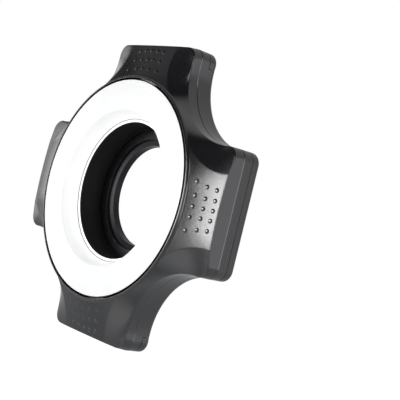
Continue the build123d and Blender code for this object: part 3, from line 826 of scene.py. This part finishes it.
DISC = 57.5                     # radii and depths in millimetres
DISC_EDGE = 0.25
DISC_WALL = 1.5
MOUTH = 41.3                    # where the front turns into the inner wall
MOUTH_EDGE = 1.0
SKIRT = 38.5                    # where the inner wall ends
SKIRT_END = 9.2
LIP = 36.8
LIP_NEAR = 8.95
DISC_STEPS = 288


def quarter(centre, radius, start, end, count):
    """Points of an arc in the profile; angles in degrees, 0 outwards and 90 to the back."""
    turns = [radians(start + (end - start) * k / count) for k in range(count + 1)]
    return [(centre[0] + radius * cos(turn), centre[1] + radius * sin(turn)) for turn in turns]


def diffuser_disc():
    profile = quarter((DISC - DISC_EDGE, DISC_EDGE), DISC_EDGE, -90, 0, 4)
    profile += [(DISC, 2.0), (DISC, LEDGE_NEAR - 0.3), (DISC - 0.3, LEDGE_NEAR),
                (DISC - DISC_WALL, LEDGE_NEAR), (DISC - DISC_WALL, DISC_WALL),
                (MOUTH + MOUTH_EDGE, DISC_WALL), (SKIRT + 1.2, SKIRT_END),
                (LIP + 0.05, SKIRT_END), (LIP, SKIRT_END - 0.05), (LIP, LIP_NEAR + 0.06),
                (LIP + 0.06, LIP_NEAR), (SKIRT - 0.3, LIP_NEAR),
                (SKIRT - 0.1, LIP_NEAR - 0.06), (SKIRT + 0.02, LIP_NEAR - 0.25)]
    profile += quarter((MOUTH + MOUTH_EDGE, MOUTH_EDGE), MOUTH_EDGE, -198, -90, 8)
    profile += [(MOUTH + 3.0, 0.0), (50.0, 0.0)]
    ring = bmesh.new()
    loops = []
    for k in range(DISC_STEPS):
        turn = 2 * pi * k / DISC_STEPS
        loops.append([ring.verts.new((r * cos(turn) * MM, (d - SEAT) * MM, r * sin(turn) * MM))
                      for r, d in profile])
    for k in range(DISC_STEPS):
        a, b = loops[k], loops[(k + 1) % DISC_STEPS]
        for n in range(len(profile)):
            m = (n + 1) % len(profile)
            ring.faces.new((a[n], a[m], b[m], b[n]))
    bmesh.ops.recalc_face_normals(ring, faces=ring.faces)
    return add_mesh("diffuser_disc", ring)


# Materials. Places in them are in metres, as radii from the ring's axis or along it.

SIDE_SHADE_MASK = (0.05738, 0.05744)          # painted shade: the diffuser's side wall is painted black outside this, for the shadow in the gap by the collar
CORNER_SHADE_FROM = (0.0379, 0.0381)            # painted shade: a thin grey line in the corner where its inner wall meets its lip
CORNER_SHADE_TO = (0.0387, 0.0389)
CORNER_SHADE_DEEP = (-0.0180, -0.0178)
INNER_WALL = (-0.0264, -0.0256)         # the painted glow grows between these, from the front into the inner wall, to lift the inner wall's shade


def diffuser_white():
    """Milky white that glows a little, as painted light that keeps it white, most on its inner wall to lift
    the shade there; its side wall is painted black, as shade for the gap by the collar.
    """
    look = Look("diffuser_white")
    glow = look.noise(24.0, 2.0)
    milk = look.noise(3000.0, 2.0)
    reach, deep = look.radius()
    # Painted shade: past the disc's edge the side wall is painted black, for the shadow in the narrow gap by
    # the collar
    face = look.spread(reach, *SIDE_SHADE_MASK, 1.0, 0.0)
    pale = look.blend(look.even(glow), (0.90, 0.90, 0.89), (0.94, 0.94, 0.94))
    # Painted shade: a thin grey line in the corner where the inner wall meets the lip, which also gets no
    # glow
    corner_shade = look.maths("MULTIPLY", look.spread(reach, *CORNER_SHADE_FROM, 0.0, 1.0),
                      look.spread(reach, *CORNER_SHADE_TO, 1.0, 0.0))
    corner_shade = look.maths("MULTIPLY", corner_shade, look.spread(deep, *CORNER_SHADE_DEEP, 0.0, 0.8))
    body = look.blend(corner_shade, pale, (0.35, 0.35, 0.35))
    look.put("Base Color", look.blend(face, (0.012, 0.012, 0.012), body))
    look.put("Roughness", look.even(milk, 0.38, 0.5))
    look.put("Normal", look.bump(milk, 0.00001, 0.4))
    look.put("Emission Color", (1.0, 1.0, 1.0, 1.0))
    # Painted light: the glow keeps the disc white, and grows into the inner wall to lift its shade
    inner = look.spread(deep, *INNER_WALL, 1.0, 2.3)
    painted_glow = look.maths("MULTIPLY", inner, look.even(glow, 0.21, 0.25))
    lit = look.maths("MULTIPLY", face, look.maths("SUBTRACT", 1.0, corner_shade))
    look.put("Emission Strength", look.maths("MULTIPLY", lit, painted_glow))
    return look


def anodised(name, lathe_pitch=0.00025):
    """Black anodised metal with fine turning marks."""
    look = Look(name)
    reach, deep = look.radius()
    marks = look.maths("MULTIPLY", look.maths("ADD", reach, deep), 2 * pi / lathe_pitch)
    turning = look.maths("SINE", marks)
    speck = look.noise(1500.0, 3.0)
    look.put("Base Color", look.blend(look.even(speck), (0.020, 0.020, 0.022), (0.035, 0.035, 0.038)))
    look.put("Metallic", 0.85)
    look.put("Roughness", look.even(speck, 0.28, 0.4))
    look.put("Normal", look.bump(turning, 0.00001, 0.3, look.bump(speck, 0.00001, 0.4)))
    return look


def metal(name, colour, rough, scale=900.0, height=0.00001, specked=0.12):
    """Bare or plated metal with fine scratches and a little tarnish."""
    look = Look(name)
    grain = look.noise(scale, 4.0, 0.7)
    patch = look.noise(160.0, 3.0)
    look.put("Base Color", look.blend(look.even(patch), shade(colour, 1 - specked), colour))
    look.put("Metallic", 1.0)
    look.put("Roughness", look.maths("ADD", look.even(patch, rough - 0.05, rough + 0.05),
                                     look.even(grain, -0.04, 0.04)))
    look.put("Normal", look.bump(grain, height, 0.5))
    return look


def board(name, mask, copper):
    """Solder mask over copper tracks that show as slightly raised, paler lines."""
    look = Look(name)
    blocks = look.cells(420.0)
    tracks = look.spread(look.maths("FRACT", look.maths("MULTIPLY", blocks, 4.0)), 0.45, 0.5, 0.0, 1.0)
    weave = look.noise(5000.0, 2.0)
    look.put("Base Color", look.blend(look.maths("MULTIPLY", tracks, 0.35), mask, copper))
    look.put("Roughness", look.even(weave, 0.25, 0.38))
    look.put("Normal", look.bump(tracks, 0.00003, 0.4, look.bump(weave, 0.00001, 0.3)))
    return look


def cell_look(name, node, along, towards):
    """Wrapped AA cell: a two-coloured sleeve with a pale line between, and bare steel ends."""
    look = Look(name)
    low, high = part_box(node)
    ends = (low[along], high[along]) if towards > 0 else (high[along], low[along])
    share = look.spread(look.parts(look.coords())[along], ends[0], ends[1], 0.0, 1.0)
    scuff = look.noise(700.0, 4.0, 0.7)
    wrap = look.blend(look.spread(share, 0.70, 0.702, 0.0, 1.0), (0.035, 0.05, 0.07), (0.42, 0.20, 0.06))
    line = look.maths("MULTIPLY", look.spread(share, 0.685, 0.687, 0.0, 1.0),
                      look.spread(share, 0.70, 0.702, 1.0, 0.0))
    wrap = look.blend(line, wrap, (0.7, 0.7, 0.68))
    wrap = look.blend(look.spread(scuff, 0.62, 0.75, 0.0, 0.35), wrap, (0.5, 0.5, 0.5))
    bare = look.maths("MAXIMUM", look.spread(share, 0.962, 0.963, 0.0, 1.0),
                      look.spread(share, 0.012, 0.013, 1.0, 0.0))
    look.put("Base Color", look.blend(bare, wrap, (0.72, 0.71, 0.69)))
    look.put("Metallic", bare)
    look.put("Roughness", look.maths("ADD", look.even(scuff, 0.2, 0.34), look.maths("MULTIPLY", bare, 0.05)))
    look.put("Normal", look.bump(scuff, 0.00001, 0.4))
    return look


def coat(name, colour, rough, scale=1400.0, tint=0.18):
    """Insulation or moulded trim with a little unevenness."""
    return moulded(name, colour, rough, scale, 0.00001, tint, 0.5)


def led_lens(name):
    """Clear, slightly yellow dome over each LED, faintly lit."""
    look = Look(name)
    bubble = look.noise(900.0, 2.0)
    look.put("Base Color", look.blend(bubble, (0.93, 0.95, 1.0), (1.0, 1.0, 0.95)))
    look.put("Transmission Weight", 0.75)
    look.put("IOR", 1.5)
    look.put("Roughness", look.even(bubble, 0.05, 0.12))
    look.put("Emission Color", (1.0, 0.98, 0.93, 1.0))
    look.put("Emission Strength", 0.6)
    return look


case_look = moulded("case_plastic", (0.012, 0.0122, 0.014), 0.17, 2200.0, 0.000015, 0.25, 0.9)
case_look.put("IOR", 1.6)
diffuser_look = diffuser_white()

looks = {
    "case": case_look,
    "diffuser": diffuser_look,
    "barrel": moulded("barrel_black", (0.008, 0.008, 0.0085), 0.62, 2200.0, 0.00003, 0.2, 0.25),
    "anodised_ring": anodised("anodised_black"),
    "circuit_board": board("solder_mask", (0.02, 0.12, 0.05), (0.10, 0.30, 0.12)),
    "led_lens": led_lens("led_lens"),
    "chip_black": coat("chip_body", (0.015, 0.015, 0.016), 0.5),
    "header_plastic": coat("header_body", (0.5, 0.48, 0.42), 0.45),
    "switch_case": coat("switch_body", (0.02, 0.02, 0.022), 0.45),
    "knob": coat("knob_plastic", (0.022, 0.022, 0.024), 0.4),
    "screw_black": metal("screw_black", (0.05, 0.05, 0.052), 0.35),
    "screw_steel": metal("screw_steel", (0.6, 0.6, 0.6), 0.3),
    "spring_steel": metal("spring_steel", (0.66, 0.66, 0.65), 0.22),
    "contact_plate": metal("contact_nickel", (0.70, 0.68, 0.63), 0.25),
    "wire_red": coat("wire_red", (0.45, 0.02, 0.02), 0.4),
    "wire_black": coat("wire_black", (0.02, 0.02, 0.02), 0.4),
}
white_board = board("white_mask", (0.75, 0.76, 0.74), (0.85, 0.85, 0.80))
for obj in nodes.values():
    for k, mat in enumerate(list(obj.data.materials)):
        slot = mat.name.split(".")[0]
        if slot in looks:
            obj.data.materials[k] = looks[slot].mat
nodes["led_board"].data.materials[0] = white_board.mat
# Each cell's axis, and whether its raised end is towards the axis's plus side
for lobe, along, towards in (("top", 0, 1), ("right", 2, -1), ("bottom", 0, -1), ("left", 2, 1)):
    name = "cell_" + lobe
    nodes[name].data.materials[0] = cell_look(name, name, along, towards).mat

front = front_case()
front.data.materials.append(case_look.mat)
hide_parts("front_shell")
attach(front, "case")
disc = diffuser_disc()
disc.data.materials.append(diffuser_look.mat)
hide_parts("diffuser")
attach(disc, "case")


# Studio: a white backdrop, a dim room and eight soft boxes round the light

ROOM_LIGHT = 0.12
# What mirrored rays see fades between two places, from one strength to another
BACKDROP_FALL = (-0.25, 0.35, 0.02, 0.5)        # backdrop: from the front to the back
FLOOR_FALL = (-0.3, 0.5, 0.04, 0.5)             # floor: the same, in metres; painted light, as only mirrored rays see it
FLOOR_POOL = (0.08, 0.28, 0.62, 0.0)            # floor: a painted pool of light round a point in front of the light, seen only by mirrored rays
FLOOR_POINT = (0.03, -0.24)                     # that point, the painted pool's centre
FLOOR_WHITE = 0.92                              # strength at which the paper is seen as white


def add_world():
    """White where it is seen directly, the fading backdrop when mirrored, and else the dim room."""
    world = bpy.data.worlds.new("studio")
    scene.world = world
    world.use_nodes = True
    world.node_tree.nodes.clear()
    sky = Nodes(world.node_tree)
    room = sky.node("ShaderNodeBackground")
    room.inputs[0].default_value = (0.86, 0.92, 1.0, 1)
    room.inputs[1].default_value = ROOM_LIGHT
    backdrop = sky.node("ShaderNodeBackground")
    backdrop.inputs[0].default_value = (1, 1, 1, 1)
    direction = sky.parts(sky.node("ShaderNodeTexCoord").outputs["Generated"])
    fall = sky.spread(direction[1], *BACKDROP_FALL, kind="SMOOTHSTEP")
    direct, mirrored = sky.rays()
    sky.link(sky.maths("MAXIMUM", direct, fall), backdrop.inputs[1])
    mix = sky.node("ShaderNodeMixShader")
    sky.link(sky.maths("MAXIMUM", direct, mirrored), mix.inputs[0])
    sky.link(room.outputs[0], mix.inputs[1])
    sky.link(backdrop.outputs[0], mix.inputs[2])
    sky.link(mix.outputs[0], sky.node("ShaderNodeOutputWorld").inputs[0])


def lamp(name, azimuth, height, distance, size, radiance, colour=(1, 1, 1)):
    """Soft box that faces the light; azimuth from straight in front towards the right, both in degrees."""
    a, e = radians(azimuth), radians(height)
    place = Vector((sin(a) * cos(e), -cos(a) * cos(e), sin(e))) * distance
    data = bpy.data.lights.new(name, "AREA")
    data.shape = "RECTANGLE"
    data.size, data.size_y = size
    data.energy = radiance * pi * size[0] * size[1]
    data.color = colour
    obj = bpy.data.objects.new(name, data)
    scene.collection.objects.link(obj)
    obj.location = place
    obj.rotation_euler = (-place).to_track_quat("-Z", "Y").to_euler()


add_world()
lamp("key_strip", -20, 1.3, 1.5, (0.58, 0.45), 8.8)
lamp("key_left", -44, -1, 1.5, (0.69, 0.2), 6.5)
lamp("high_fill", -56, 26, 1.2, (0.5, 0.4), 0.17)
lamp("left_strip", -76, 3, 1.0, (0.38, 0.7), 1.05)
lamp("left_back", -99, 8, 1.2, (0.42, 0.5), 0.6)
lamp("right_fill", 112, 5, 1.2, (0.78, 0.8), 0.57, (0.92, 0.92, 1.0))
lamp("edge_light", 50, 1.5, 1.2, (0.95, 0.64), 2.1)
lamp("high_edge", 32, 25, 1.2, (0.6, 0.2), 2.4)


def add_floor(height=-0.22, reach=6.0):
    """Pale paper, white where it is seen directly; when mirrored, it shows painted light, palest behind and
    in a painted pool right in front.
    """
    mesh = bpy.data.meshes.new("floor")
    mesh.from_pydata([(-reach, -reach, height), (reach, -reach, height), (reach, reach, height),
                      (-reach, reach, height)], [], [(0, 1, 2, 3)])
    obj = bpy.data.objects.new("floor", mesh)
    scene.collection.objects.link(obj)
    look = Look("floor_paper")
    fibre = look.even(look.noise(300.0, 3.0))
    look.put("Base Color", look.blend(fibre, (0.80, 0.80, 0.80), (0.83, 0.83, 0.83)))
    look.put("Roughness", 0.9)
    look.put("Specular IOR Level", 0.1)
    behind = look.spread(look.parts(look.coords())[1], *FLOOR_FALL)
    away = look.node("ShaderNodeVectorMath", operation="DISTANCE")
    look.link(look.coords(), away.inputs[0])
    away.inputs[1].default_value = (*FLOOR_POINT, height)
    # Painted light: a pool round a point in front of the light, and a rise towards the back, seen only by
    # mirrored rays
    near = look.spread(away.outputs["Value"], *FLOOR_POOL)
    direct, mirrored = look.rays()
    mirrored = look.maths("MULTIPLY", mirrored, look.maths("MAXIMUM", behind, near))
    seen = look.maths("MAXIMUM", direct, mirrored)
    look.put("Emission Color", (1.0, 1.0, 1.0, 1.0))
    look.put("Emission Strength", look.maths("MULTIPLY", seen, FLOOR_WHITE))
    mesh.materials.append(look.mat)


add_floor()
